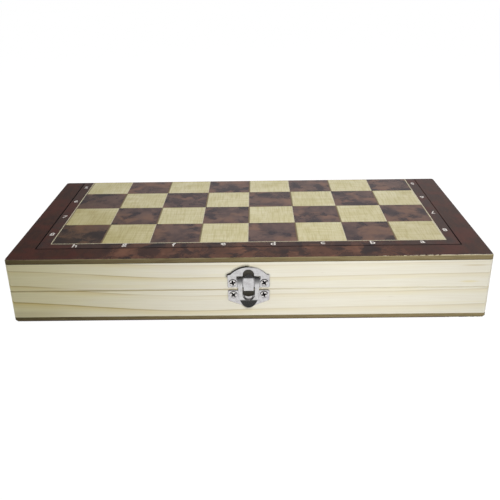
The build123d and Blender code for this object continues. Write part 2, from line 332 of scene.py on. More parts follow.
def ring_count(f, fibre, length, across, pith, ring, sink, rise):
    """The rings between the pith, an (across, z), and the place: |(across, z - drop) - pith| / ring.

    The drop is a smooth step of the sink's height from the right to the left end, plus the rise for each
    millimetre of length. Noise sways the rings."""
    sway = f.noise(f.stretch(fibre, 9.0, 1.5, 1.5), 14.0, detail=2.0, output=1)
    sway_across, sway_up = f.axes(f.vector("SUBTRACT", sway, (0.5, 0.5, 0.5)))[:2]
    drop = f.times(f.between(share_to_left(f, length), *steps_down), sink)
    drop = f.plus(drop, f.times(length, rise))
    sideways = f.minus(f.plus(across, f.times(sway_across, 0.8)), pith[0])
    upwards = f.plus(f.minus(f.minus(f.z, drop), pith[1]), f.times(sway_up, 1.8))
    return f.math("DIVIDE", f.hypotenuse(sideways, upwards), ring)


def line_strength(f, fibre, rings, to_left):
    """How dark each ring's line is: by a chance of its own, faded in places and weaker to the right."""
    chance = f.node("TexWhiteNoise", {"W": f.math("FLOOR", rings)}, noise_dimensions="1D").outputs["Value"]
    fade = f.streaks(fibre, 12.0, 9.0, detail=2.0)
    strength = f.plus(0.55, f.times(chance, 0.45))
    strength = f.times(strength, f.plus(0.25, f.between(fade, 0.3, 0.55)), clamp=True)
    return f.times(strength, f.plus(0.42, f.times(f.between(to_left, 0.35, 0.95), 0.58)))


print("board is", round(2 * half_board), "mm long")

# %% [markdown]
# ## Figure, stains and painted shade
#
# Rings alone look drawn. Real pine also has fine fibres, grey clouds, yellow streaks and short pores, and
# all of them are noise drawn out along the fibre. The two trays meet in a ragged line, and the front
# carries a streak of resin, a stain, and painted shade low down at its left end. Round the hasp the wood
# gets painted shade: near black where the plates have openings, and darker along their edges, which an
# Ambient Occlusion node finds.

# %% Figure and joint
joint_shade = seen(168, 150, 104)
figures = {
    "clouds": (4.0, 13.0, 3.0, (0.45, 0.75), 0.35, seen(224, 217, 200)),
    "streaks": (16.0, 5.0, 2.0, (0.56, 0.72), 0.35, seen(228, 218, 178)),
    "pores": (14.0, 0.5, 1.0, (0.72, 0.82), 0.25, seen(158, 140, 88)),
}


def figured(f, fibre, fibres, colour):
    """The wood under its fibres and figures: (drawn out by, size, detail, (low, high), share, tone)."""
    grain = f.ramp(fibres, [(0.35, seen(226, 216, 188)), (0.65, seen(255, 253, 246))])
    colour = f.tinted(colour, grain, 0.2)
    for drawn_out, size, detail, limits, share, tone in figures.values():
        patches = f.streaks(fibre, drawn_out, size, detail=detail)
        colour = f.patch(colour, patches, *limits, share, tone)
    return colour


def joint_line(f, fibre, to_left, colour):
    """The ragged dark line where the two trays meet, fainter to the right."""
    ragged = f.streaks(fibre, 6.0, 1.6, detail=3.0)
    gap = f.minus(f.apart(f.z, parting_level), f.times(ragged, 0.5))
    share = f.plus(0.25, f.times(f.between(to_left, 0.35, 0.6), 0.4))
    return f.mix(f.times(f.below(gap, 0.1, 0.55), share), colour, joint_shade)


rail_low, rail_high = corners_in_mm("base_front_rail")
rail_face, parting_level = round(rail_low[1], 3), rail_high[2]
print("the trays meet at", round(parting_level, 1), "mm")

# %% Stains and painted shade
window_foot, window_top, window_side = (-7.0, -6.5), (15.6, 16.2), (4.3, 4.9)
crown_rise, crown_middle = (8.0, 11.0), (-1.0, 2.0)
ledge_foot, ledge_top, ledge_end = (-3.0, -2.5), (-0.5, 0.0), (12.0, 13.0)
shade_end = (17.0, 19.0)
# Painted shade round the hasp: how far the Ambient Occlusion node looks, and its near black colour.
wood_shade_reach = 2.0
hasp_shade = seen(38, 34, 27)
stains_and_shade = [
    (155.0, 29.2, 9.0, 1.3, 0.5, seen(222, 208, 150)),
    (158.0, 41.8, 14.0, 0.9, 0.5, seen(196, 178, 132)),
    # Painted shade: the pine darker low down at the left end.
    (-168.0, 6.0, 60.0, 5.0, 0.25, seen(176, 164, 120)),
]


def stained_and_shaded(f, colour):
    """Resin, stains and painted shade: (x, z, half length, half height, share, tone). Each is an ellipse that
    fades outwards, where the root of (from x / half length)^2 + (from z / half height)^2 grows from 0.2 to 1."""
    for middle_x, middle_z, half_length, half_height, share, tone in stains_and_shade:
        sideways = f.math("DIVIDE", f.minus(f.x, middle_x), half_length)
        upwards = f.math("DIVIDE", f.minus(f.z, middle_z), half_height)
        fade = f.below(f.hypotenuse(sideways, upwards), 0.2, 1.0)
        colour = f.mix(f.times(fade, share), colour, tone)
    return colour


def left_of_crown(f):
    """1 along the upper plate's crown, left of its middle."""
    level = f.minus(f.z, parting_level)
    return f.minus(f.between(level, *crown_rise), f.between(f.x, *crown_middle), clamp=True)


def hasp_painted_shade(f):
    """Painted shade on the wood behind the hasp's window and slot, and a painted dark line round its plates.
    The line is darkest along the left of the upper plate's crown and along the catch's upper edge."""
    off_middle = f.apart(f.x, 0.0)
    level = f.minus(f.z, parting_level)
    behind = f.times(f.between(level, *window_foot), f.below(level, *window_top))
    behind = f.times(behind, f.below(off_middle, *window_side))
    open_to_air = f.open_to_air(wood_shade_reach)
    ledge = f.minus(f.between(level, *ledge_foot), f.between(level, *ledge_top), clamp=True)
    ledge = f.minus(ledge, f.between(off_middle, *ledge_end), clamp=True)
    packed_shade = f.math("MAXIMUM", left_of_crown(f), ledge)
    packed_shade = f.times(packed_shade, f.below(open_to_air, 0.85, 0.99))
    line = f.math("MAXIMUM", f.times(f.below(open_to_air, 0.5, 0.95), 0.3), f.times(packed_shade, 0.95))
    line = f.times(line, f.below(off_middle, *shade_end))
    painted_shade = f.math("MAXIMUM", f.times(behind, 0.96), line)
    return f.times(painted_shade, f.math("LESS_THAN", f.y, rail_face + 0.1))


# The count includes the painted shade at the left end.
print("stains on the front:", len(stains_and_shade))

# %% Pine finish
pale_wood = seen(232, 228, 213)
left_wood = seen(233, 226, 184)
summer_wood = [
    (0.0, white), (0.55, white), (0.70, seen(250, 247, 234)), (0.82, seen(245, 238, 212)),
    (0.90, seen(238, 226, 192)), (0.93, seen(203, 184, 134)), (0.955, seen(200, 182, 132)), (0.978, white),
]


def pine(name, along, pith, ring, phase_shift, sink, rise, shift=0.0, front=False):
    """Sawn pine whose fibres run along X or Y. Pith, ring, sink and rise describe its log, as ring_count
    says. The phase shift moves its rings, and the shift moves all other patterns along the fibre."""
    f = Finish(name)
    length, across = (f.x, f.y) if along == "X" else (f.y, f.x)
    fibre = f.node("CombineXYZ", {0: f.plus(length, shift), 1: across, 2: f.z}).outputs[0]
    rings = f.plus(ring_count(f, fibre, length, across, pith, ring, sink, rise), phase_shift)
    phase = f.math("FRACT", rings)
    to_left = share_to_left(f, length)
    ground = f.mix(f.between(share_to_left(f, f.x), 0.55, 1.05), pale_wood, left_wood)
    lines = f.tinted(ground, f.ramp(phase, summer_wood, smooth=False))
    colour = f.mix(line_strength(f, fibre, rings, to_left), ground, lines)
    fibres = f.streaks(fibre, 50.0, 0.8, detail=4.0, roughness=0.65)
    colour = figured(f, fibre, fibres, colour)
    colour = joint_line(f, fibre, to_left, colour)
    if front:
        # Painted shade behind and round the hasp, laid over the stains.
        colour = f.mix(hasp_painted_shade(f), stained_and_shaded(f, colour), hasp_shade)
    relief = f.plus(f.times(fibres, 0.6), f.times(phase, 0.4))
    return f.finish(
        Base_Color=colour,
        Roughness=f.plus(0.42, f.times(fibres, 0.16)),
        Normal=f.bump(relief, 0.03),
        Specular_IOR_Level=0.3,
    )


# %% Finish the rails
# Each log: fibre axis, pith, ring, phase shift, sink, rise, shift, and whether it carries the front's stains
# and painted shade.
rail_logs = {
    "lid_front_rail": ("X", (35.0, -8.0), 3.4, 0.50, 7.6, 0.006, 0.0, True),
    "base_front_rail": ("X", (35.0, -21.5), 3.4, 0.54, 10.2, 0.016, 260.0, True),
    "lid_back_rail": ("X", (-40.0, 66.0), 3.6, 0.2, -5.0, 0.01, 520.0),
    "base_back_rail": ("X", (-28.0, -30.0), 3.3, 0.5, 4.0, -0.012, 810.0),
    "lid_left_rail": ("Y", (-54.0, -6.0), 3.4, 0.0, 3.0, 0.02, 90.0),
    "base_left_rail": ("Y", (-50.0, 60.0), 3.6, 0.3, -4.0, -0.01, 350.0),
    "lid_right_rail": ("Y", (50.0, 78.0), 3.5, 0.6, 5.0, -0.02, 640.0),
    "base_right_rail": ("Y", (56.0, -24.0), 3.2, 0.8, -3.0, 0.015, 930.0),
}
for rail, log in rail_logs.items():
    wear(rail, pine("pine " + rail, *log))
print("pine rails:", len(rail_logs))

# %% [markdown]
# ## The boards' bare edges
#
# The two boards are thin pressed-fibre sheets. Only their olive-brown edges show, between print and
# pine. They are matt, speckled with fibre, paler towards the right end, and a little paler along the
# eased corner, partly rubbed by hands and partly a painted highlight.

# %% Fibreboard finish
board_layers = [(0.3, seen(120, 107, 77)), (0.55, seen(147, 133, 98)), (0.75, seen(166, 153, 116))]
board_specks = [(0.3, seen(150, 140, 115)), (0.7, seen(255, 255, 244))]
paler_to_right = [(0.0, seen(187, 185, 174)), (0.25, seen(216, 214, 210)), (0.9, white)]
rubbed_and_highlit_board = seen(166, 156, 118)
deep_board = seen(66, 55, 34)


def fibreboard(name, rubbed_and_highlit_level, deep_level):
    """A pressed-fibre edge, paler at the rubbed level, where wear and a painted highlight lie, and darker at
    the deep one.
    """
    f = Finish(name)
    layers = f.noise(f.stretch(f.mm, 14.0, 14.0, 0.5), 1.6, detail=4.0, roughness=0.7)
    specks = f.noise(f.mm, 0.35, detail=3.0, roughness=0.7)
    colour = f.tinted(f.ramp(layers, board_layers), f.ramp(specks, board_specks), 0.35)
    to_right = f.math("DIVIDE", f.plus(f.x, half_board), 2.0 * half_board)
    colour = f.tinted(colour, f.ramp(to_right, paler_to_right))
    # Wear and a painted highlight along the upper eased corner, in patches.
    rub_and_highlight = f.below(f.apart(f.z, rubbed_and_highlit_level), 0.15, 0.75)
    rub_and_highlight = f.times(rub_and_highlight, f.between(f.noise(f.mm, 9.0, detail=4.0), 0.3, 0.6))
    colour = f.mix(f.times(rub_and_highlight, 0.4), colour, rubbed_and_highlit_board)
    deep = f.below(f.apart(f.z, deep_level), 0.1, 1.1)
    colour = f.mix(f.times(deep, 0.55), colour, deep_board)
    return f.finish(
        Base_Color=colour,
        Roughness=0.72,
        Normal=f.bump(specks, 0.05),
        Specular_IOR_Level=0.25,
    )


for body in ("lid", "base"):
    low, high = [corner[2] for corner in corners_in_mm(body + "_panel")]
    wear(body + "_panel", fibreboard("fibreboard " + body, high, low))
    print(body, "panel's edge from", round(low, 2), "to", round(high, 2), "mm")

# %% [markdown]
# ## Printed woods
#
# The chess face is a print of two veneers under lacquer: walnut burl, dark red-brown with black clouds
# and small eyes, and figured maple, yellow-green with a fine hatch. A cabinet maker would cut each
# square from another spot of the veneer, and so does the print. Each face therefore carries a `cut`
# attribute, a shift in millimetres that moves the pattern, and one finish serves all squares.

# %% Burl
lacquer = {"Roughness": 0.24, "Specular_IOR_Level": 0.45}
matt = {"Roughness": 0.9, "Specular_IOR_Level": 0.05}
eye_spacing = 24.0


def veneer_place(f):
    """The place on the veneer sheet: where the point is, plus its piece's own cut."""
    cut = f.node("Attribute", attribute_name="cut").outputs["Vector"]
    return f.vector("ADD", f.mm, cut)


def burl(f, place, quiet, amber, smoke):
    """Walnut burl: a quiet brown ground with amber patches, smoky blotches, and eyes with rings."""
    swirl = f.warp(place, 16.0, 14.0, detail=3.0)
    ground = f.noise(f.stretch(swirl, 1.0, 1.5, 1.0), 14.0, detail=4.0, roughness=0.55)
    colour = f.mix(f.between(ground, 0.35, 0.65), f.mix(0.6, quiet, smoke), quiet)
    patches = f.noise(f.vector("ADD", swirl, (210.0, 90.0, 0.0)), 19.0, detail=4.0, roughness=0.5)
    colour = f.patch(colour, patches, 0.46, 0.66, 0.85, amber)
    blotches = f.noise(f.vector("ADD", swirl, (-130.0, 340.0, 0.0)), 17.0, detail=5.0, roughness=0.55)
    colour = f.patch(colour, blotches, 0.48, 0.64, 0.85, smoke)
    return f.mix(burl_eyes(f, place), colour, smoke)


def burl_eyes(f, place):
    """How dark the eyes are: a core at each centre of a cell pattern, with fine rings round it."""
    cells = {"Vector": f.warp(place, 6.0, 4.0), "Scale": 1.0 / eye_spacing}
    from_eye = f.node("TexVoronoi", cells).outputs["Distance"]
    core = f.below(from_eye, 0.03, 0.16)
    rings = f.plus(0.5, f.times(f.math("SINE", f.times(from_eye, 60.0)), 0.5))
    rings = f.times(rings, f.below(from_eye, 0.1, 0.34))
    return f.math("MAXIMUM", f.times(core, 0.7), f.times(rings, 0.28))


def pored(f, place, colour):
    """Fine dark pores and a faint straight figure, which every walnut has."""
    pores = f.streaks(place, 5.0, 0.5, detail=2.0)
    colour = f.patch(colour, pores, 0.56, 0.74, 0.22, seen(26, 18, 18))
    return f.finish(Base_Color=colour, Normal=f.bump(pores, 0.004), **lacquer)


def yellowed(f, colour):
    """The print gone a little brown where hands hold it: towards both near corners, the left one most."""
    towards_corner = f.minus(f.apart(f.x, 0.0), f.times(f.y, 0.8))
    stain = f.mix(f.between(f.x, -30.0, 30.0), seen(232, 228, 204), seen(240, 238, 234))
    return f.mix(f.between(towards_corner, 60.0, 180.0), colour, f.tinted(colour, stain))


# %% Walnut and maple
red_flush = seen(84, 44, 36)
bare_paper = seen(214, 206, 180)


def walnut_square(name):
    """The dark squares, cut from burl."""
    f = Finish(name)
    place = veneer_place(f)
    wood = burl(f, place, seen(106, 85, 79), seen(126, 96, 82), seen(54, 48, 54))
    return pored(f, place, yellowed(f, wood))


def walnut_border(name, edge, quiet, amber, smoke):
    """Plain red-brown walnut at the sides, and burl along the middle of the front."""
    f = Finish(name)
    place = veneer_place(f)
    figure = f.noise(f.stretch(f.warp(place, 20.0, 12.0), 1.0, 9.0, 1.0), 2.4, detail=4.0)
    plain_wood = f.mix(f.between(figure, 0.3, 0.7), quiet, f.mix(0.45, quiet, smoke))
    flush = f.noise(f.warp(place, 18.0, 12.0), 20.0, detail=4.0, roughness=0.6)
    plain_wood = f.patch(plain_wood, flush, 0.42, 0.6, 0.6, red_flush)
    off_middle = f.plus(f.apart(f.x, 0.0), f.times(f.noise(f.mm, 16.0), 40.0))
    lively = f.times(f.below(off_middle, 112.0, 142.0), 0.95)
    colour = f.mix(lively, plain_wood, burl(f, place, f.mix(0.35, quiet, amber), amber, smoke))
    return pored(f, place, f.mix(chips(f, edge), colour, bare_paper))


def chips(f, edge):
    """Where the paper has flaked off along the front edge: more of it towards the right end."""
    flakes = f.streaks(f.mm, 3.0, 1.1, detail=4.0, roughness=0.7)
    reach = f.plus(-0.62, f.times(f.between(f.x, 70.0, 175.0), 0.78))
    reach = f.plus(reach, f.times(f.between(flakes, 0.36, 0.6), 0.55))
    return f.math("LESS_THAN", f.minus(f.y, edge), reach)


def maple(name):
    """Figured maple: a pale ground with a fine hatch of fibres one way and curl the other."""
    f = Finish(name)
    place = f.warp(veneer_place(f), 30.0, 2.0)
    ground = f.noise(place, 20.0, detail=3.0)
    colour = f.ramp(ground, [(0.3, seen(204, 196, 157)), (0.7, seen(215, 208, 175))])
    fibres = f.streaks(place, 30.0, 0.75, detail=2.0)
    curl = f.noise(f.stretch(place, 1.0, 22.0, 1.0), 0.8, detail=2.0)
    for lines, tone in ((fibres, seen(218, 211, 184)), (curl, seen(220, 213, 186))):
        hatch = f.ramp(lines, [(0.36, tone), (0.56, seen(255, 255, 252))])
        colour = f.tinted(colour, hatch, 0.45)
    return f.finish(Base_Color=yellowed(f, colour), **lacquer)


# %% Inks
def ink(name, colour, sheen=lacquer, pale=None):
    """A printed line or letter, a little uneven as offset ink is. It may pale towards the far right."""
    f = Finish(name)
    uneven = f.noise(f.mm, 0.8, detail=3.0)
    if pale:
        far_right = f.times(f.between(f.x, 100.0, 140.0), f.between(f.y, -55.0, 10.0))
        colour = f.mix(f.times(far_right, 0.75), colour, pale)
    faded = f.tinted(colour, seen(205, 200, 190))
    return f.finish(Base_Color=f.mix(f.between(uneven, 0.35, 0.75), colour, faded), **sheen)


lid_edge = corners_in_mm("lid_chess_print")[0][1]
inks = {
    "border": walnut_border("walnut border", lid_edge, seen(70, 45, 36), seen(122, 84, 66), seen(36, 29, 32)),
    "band": walnut_border("walnut band", lid_edge, seen(74, 55, 49), seen(100, 70, 58), seen(38, 33, 38)),
    "dark": walnut_square("walnut square"),
    "light": maple("maple square"),
    "groove": ink("groove line", seen(24, 17, 18), matt, pale=seen(66, 50, 47)),
    "cream": ink("cream line", seen(212, 205, 178)),
    "olive": ink("olive line", seen(134, 121, 90)),
    "brown": ink("brown line", seen(108, 86, 66)),
    "white": ink("white letters", seen(236, 232, 228)),
}
print("printed finishes:", ", ".join(inks))

# %% [markdown]
# ## Cutting a print into regions
#
# A pattern of squares, lines and letters can be painted by maths in a shader, but then no other program
# can see it. Here the sheet itself is cut instead, like marquetry. All outlines go into one flat
# triangulation, which splits the sheet along every line. Each triangle then takes the ink of the last
# outline that covers its centre, so later outlines lie on top of earlier ones.


# %% Outlines
def rectangle(left, front, right, back):
    """The four corners of a rectangle, anticlockwise."""
    return np.array([(left, front), (right, front), (right, back), (left, back)], float)


def rounded_rectangle(left, front, right, back, radius, steps=6):
    """A rectangle with quarter circles at its corners: centre plus radius times (cosine, sine)."""
    centres = [(right, back, 0), (left, back, 1), (left, front, 2), (right, front, 3)]
    points = []
    for x, y, quarter in centres:
        inward = (-1 if x == right else 1, -1 if y == back else 1)
        turn = math.pi / 2 * (quarter + np.linspace(0, 1, steps))
        points.append(np.column_stack((
            x + inward[0] * radius + radius * np.cos(turn),
            y + inward[1] * radius + radius * np.sin(turn),
        )))
    return np.concatenate(points)


def covered(places, outline):
    """Which places an outline covers: those from which a line to the right crosses its sides an odd
    number of times. The side from a to b meets a place's height at
    a.x + (y - a.y) (b.x - a.x) / (b.y - a.y)."""
    x, y = places[:, :1], places[:, 1:]
    ax, ay = outline.T
    bx, by = np.roll(ax, -1), np.roll(ay, -1)
    spans = (ay > y) != (by > y)
    meets = ax + (y - ay) * (bx - ax) / np.where(by == ay, 1.0, by - ay)
    return (spans & (meets > x)).sum(axis=1) % 2 == 1


# %% Outlines of characters
def glyph(character, height):
    """The filled outline of one character as (points, faces), in millimetres, centred on its middle."""
    curve = bpy.data.curves.new("glyph", "FONT")
    curve.body = character
    curve.size = height
    curve.offset = ink_spread
    curve.resolution_u = 3
    carrier = bpy.data.objects.new("glyph", curve)
    mesh = bpy.data.meshes.new_from_object(carrier)
    points = np.empty(len(mesh.vertices) * 3)
    mesh.vertices.foreach_get("co", points)
    points = points.reshape(-1, 3)[:, :2]
    faces = [list(face.vertices) for face in mesh.polygons]
    bpy.data.objects.remove(carrier)
    bpy.data.curves.remove(curve)
    bpy.data.meshes.remove(mesh)
    return points, faces


# %% Cut the sheet along all outlines
merge_distance = 1e-4


def triangulated(regions):
    """The flat points, the anticlockwise triangles, and the number of the region that each lies in."""
    points, edges = [], []
    for outline, faces, _, _ in regions:
        first = len(points)
        points += [Vector(point) for point in outline.tolist()]
        for face in faces:
            edges += [(first + a, first + b) for a, b in zip(face, face[1:] + face[:1])]
    flat, _, net, *_ = delaunay_2d_cdt(points, edges, [], 0, merge_distance)
    flat = np.array([tuple(point) for point in flat])
    net = np.array(net)
    centres = flat[net].mean(axis=1)
    region = np.zeros(len(net), int)
    for index, (outline, faces, _, _) in enumerate(regions):
        for face in faces:
            region[covered(centres, outline[face])] = index
    first_side = flat[net[:, 1]] - flat[net[:, 0]]
    second_side = flat[net[:, 2]] - flat[net[:, 0]]
    area = first_side[:, 0] * second_side[:, 1] - first_side[:, 1] * second_side[:, 0]
    net[area < 0] = net[area < 0][:, ::-1]
    return flat, net, region


def rim_of(net):
    """The sides of triangles that no other triangle shares. They run round the sheet's edge."""
    sides = np.concatenate((net[:, [0, 1]], net[:, [1, 2]], net[:, [2, 0]])).tolist()
    keys = set(map(tuple, sides))
    return np.array([side for side in sides if (side[1], side[0]) not in keys])


def thick_sheet(flat, net, printed, hidden):
    """Points and faces: the net at the printed level, a wall of quads round it, and the net turned over
    at the hidden level. All faces turn round if the printed side looks down."""
    count = len(flat)
    points = np.concatenate([
        np.column_stack((flat, np.full(count, level))) for level in (printed, hidden)
    ])
    rim = rim_of(net)
    wall = np.column_stack((rim[:, 1], rim[:, 0], rim[:, 0] + count, rim[:, 1] + count))
    parts = [net, wall, net[:, ::-1] + count]
    if printed < hidden:
        parts = [part[:, ::-1] for part in parts]
    return points, [face for part in parts for face in part.tolist()]


# %% The marquetry cutter
def inlay(mesh, regions, region):
    """Gives each face the ink and the cut of its region. Wall and back take those of the first region."""
    used = sorted({ink_name for _, _, ink_name, _ in regions})
    for ink_name in used:
        mesh.materials.append(inks[ink_name])
    slots = np.array([used.index(ink_name) for _, _, ink_name, _ in regions], np.int32)
    cuts = np.array([cut for _, _, _, cut in regions], np.float32)
    region = np.concatenate((region, np.zeros(len(mesh.polygons) - len(region), int)))
    mesh.polygons.foreach_set("material_index", slots[region])
    attribute = mesh.attributes.new("cut", "FLOAT_VECTOR", "FACE")
    attribute.data.foreach_set("vector", cuts[region].ravel())
    mesh.update()


def marquetry(name, node, printed_up, regions):
    """A sheet in place of a packed print. Regions are (points, faces, ink, cut) in millimetres."""
    low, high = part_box(node)
    printed, hidden = (high.z, low.z) if printed_up else (low.z, high.z)
    flat, net, region = triangulated(regions)
    points, faces = thick_sheet(flat * MM, net, printed, hidden)
    mesh = bpy.data.meshes.new(name)
    mesh.from_pydata(points.tolist(), [], faces)
    inlay(mesh, regions, region)
    sheet = put(name, mesh)
    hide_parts(node)
    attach(sheet, frame["nodes"][node]["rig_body"])
    print(name, len(mesh.polygons), "faces")


# %% [markdown]
# ## The chess print
#
# The opened board has 8 by 8 squares, and each half carries 8 by 4 of them, up to the fold. Round the
# other three sides run a cream line, a band with the letters and numbers, a dark groove and a broad
# outer band. The print fakes a bevel on every square: an olive shade on one side and a cream glint on the
# other. The sheet is cut and laid a little carelessly, as such sheets are: its squares are a hair deeper
# than wide, and the last row is short at the fold. All of it is worked out from the field's corner.

# %% The chess field
square = 36.0
row_depth = 36.7
row_count = 4
column_letters = "hgfedcba"
field_left, field_right, field_front = -144.1, 143.2, -57.6
glint = 0.55
far_rim = 0.7 * glint
shade = 0.85
no_cut = (0.0, 0.0, 0.0)
veneer_reach = 400.0
veneer_depth = 60.0


def plain(points, ink_name, cut=no_cut):
    """One region with a single face."""
    return points, [list(range(len(points)))], ink_name, cut


def veneer_spot(dice):
    """A random spot on the veneer sheet, as (x, y)."""
    return dice.uniform(-veneer_reach, veneer_reach), dice.uniform(-veneer_reach, veneer_reach)


def chess_square(x, y, end, far, is_dark, cut):
    """One square with its faked bevel: a light one has an olive shade on the left, a brown line at the
    back and a cream glint on the right, and a dark one has a brown line on the right."""
    if is_dark:
        return [
            plain(rectangle(x, y, end, far), "dark", cut),
            plain(rectangle(end - glint, y, end, far), "brown"),
        ]
    return [
        plain(rectangle(x, y, end, far), "light", cut),
        plain(rectangle(x, y, x + shade, far), "olive"),
        plain(rectangle(x, far - far_rim, end, far), "brown"),
        plain(rectangle(end - glint, y, end, far), "cream"),
    ]


def field_squares(back, first_dark, dice):
    """The rows of squares, the last one cut short at the fold."""
    regions = []
    for row in range(row_count):
        for column in range(len(column_letters)):
            x, y = field_left + column * square, field_front + row * row_depth
            is_dark = (row + column) % 2 == (0 if first_dark else 1)
            cut = (*veneer_spot(dice), dice.uniform(-veneer_depth, veneer_depth))
            end, far = min(x + square, field_right), min(y + row_depth, back)
            regions += chess_square(x, y, end, far, is_dark, cut)
    return regions


print("field", round(field_right - field_left, 1), "mm wide")

# %% The letters and numbers
letter_gap = 3.8
number_gap = 4.7
letter_size = 8.1
number_size = 7.2
ink_spread = 0.11


def character(text, size, middle, reading, upright):
    """A letter or number set about its middle; reading is -1 where it is read from below."""
    points, faces = glyph(text, size)
    points = points - 0.5 * (points.min(axis=0) + points.max(axis=0))
    points = points * (reading, 1.0) * (1.0 if upright else -1.0)
    return points + middle, faces, "white", no_cut


def field_letters(numbers, mirrored):
    """The letters along the front, and the numbers at both sides."""
    reading = -1.0 if mirrored else 1.0
    regions = []
    for column, letter in enumerate(column_letters):
        middle = (field_left + (column + 0.5) * square, field_front - letter_gap)
        regions.append(character(letter, letter_size, middle, reading, upright=True))
    for row, number in enumerate(numbers):
        y = field_front + (row + 0.5) * row_depth
        left, right = (field_left - number_gap, y), (field_right + number_gap, y)
        regions.append(character(number, number_size, left, reading, upright=not mirrored))
        regions.append(character(number, number_size, right, reading, upright=mirrored))
    return regions


print("letters", letter_size, "mm and numbers", number_size, "mm in size")

# %% Draw the chess print
cream_line = 0.7
band_width = 9.6
groove_width = 1.0
lid_corner = 2.0
base_corner = 1.5


def field_frame(out, back, ink_name):
    """The field grown by some millimetres to the left, front and right. Larger frames are drawn first."""
    return plain(rectangle(field_left - out, field_front - out, field_right + out, back), ink_name)


def chess_regions(node, corner, first_dark, mirrored, numbers, seed):
    """All regions of one half, with the fold at the back. A mirrored half is read from below."""
    low, high = corners_in_mm(node)
    return [
        plain(rounded_rectangle(*low[:2], *high[:2], corner), "border"),
        field_frame(band_width, high[1], "groove"),
        field_frame(band_width - groove_width, high[1], "band"),
        field_frame(cream_line, high[1], "cream"),
        *field_squares(high[1], first_dark, np.random.default_rng(seed)),
        *field_letters(numbers, mirrored),
    ]


lid_regions = chess_regions("lid_chess_print", lid_corner, True, False, "8765", seed=11)
marquetry("lid_chess_sheet", "lid_chess_print", True, lid_regions)
base_regions = chess_regions("base_chess_print", base_corner, False, True, "1234", seed=12)
marquetry("base_chess_sheet", "base_chess_print", False, base_regions)

# %% [markdown]
# ## The backgammon print
#
# Each tray shows half of a backgammon table: six points from each short wall, light and dark in turn.
# A point is a long triangle with a cream outline, drawn as a larger triangle under a smaller one.

# %% Draw the backgammon print
points_a_side = 6
point_length = 122.0
table_margin = 6.5
cream_edge = 0.9
table_cut = (60.0, 140.0, 0.0)


def table_point(wall, side, y, width, wood, cut):
    """One point of the table, from a wall towards one side."""
    middle = y + width / 2
    slope = cream_edge / width * point_length
    inner_tip = wall + side * (point_length - 2 * slope)
    big = [(wall, y), (wall + side * point_length, middle), (wall, y + width)]
    small = [(wall, y + cream_edge), (inner_tip, middle), (wall, y + width - cream_edge)]
    return [plain(np.array(big), "cream"), plain(np.array(small), wood, cut)]


def backgammon_regions(node, seed):
    """The tray's field, a cream frame, and six points from the left wall and from the right one."""
    low, high = corners_in_mm(node)
    left, front = low[:2] + table_margin
    right, back = high[:2] - table_margin
    dice = np.random.default_rng(seed)
    grown = (left - cream_edge, front - cream_edge, right + cream_edge, back + cream_edge)
    regions = [
        plain(rectangle(*low[:2], *high[:2]), "border"),
        plain(rectangle(*grown), "cream"),
        plain(rectangle(left, front, right, back), "dark", table_cut),
    ]
    width = (back - front) / points_a_side
    for side, wall in ((1.0, left), (-1.0, right)):
        for index in range(points_a_side):
            wood = "light" if (index % 2 == 0) == (side > 0) else "border"
            cut = (*veneer_spot(dice), 0.0)
            regions += table_point(wall, side, front + index * width, width, wood, cut)
    return regions


for body, printed_up, seed in (("base", True, 21), ("lid", False, 22)):
    node = body + "_backgammon_print"
    marquetry(body + "_backgammon_sheet", node, printed_up, backgammon_regions(node, seed))

# %% [markdown]
# ## Plated metal
#
# The hasp, its screws and the hinges are pressed steel under bright nickel. Its colour hardly changes,
# but its gloss does: rolling left faint streaks, and fingers left cloudy spots. Three things make such
# metal look real. Its edges are softened by a Bevel node, so that each one catches a line of light. Its
# crevices, which an Ambient Occlusion node finds, are painted dark: mostly shade, a little grime. And it
# needs a world with a light floor and a dark sky to mirror, which comes further down.


# %% Dish shadows and curl
dish_rim = (2.8, 3.05)
shadow_crescent = (0.2, 1.1)


def dish_shadows(f, clean_and_lit, screw_middles):
    """The clean share, with a painted shadow in a crescent over the upper half of each dished hole, round its
    screw.
    """
    for middle_x, middle_z in screw_middles:
        above = f.minus(f.z, middle_z)
        dish = f.below(f.hypotenuse(f.minus(f.x, middle_x), above), *dish_rim)
        clean_and_lit = f.mix(dish, clean_and_lit, f.below(above, *shadow_crescent))
    return clean_and_lit


def curled(f, normal, low, high, drop):
    """Shading of sheet that bends back towards its top, by drop ((z - low) / (high - low)) ^ 2."""
    share = f.math("DIVIDE", f.minus(f.z, low), high - low, clamp=True)
    return f.bump(f.times(f.math("POWER", share, 2.0), -1.0), drop, normal)


# %% Nickel finish
# The colour of the painted shade and grime in crevices, dish crescents, screw recesses and on cut walls.
grime_and_shade = seen(26, 23, 22)
cloudy_metal = seen(236, 234, 235)
rolled = {"X": (30.0, 1.0, 1.0), "Z": (1.0, 1.0, 30.0)}


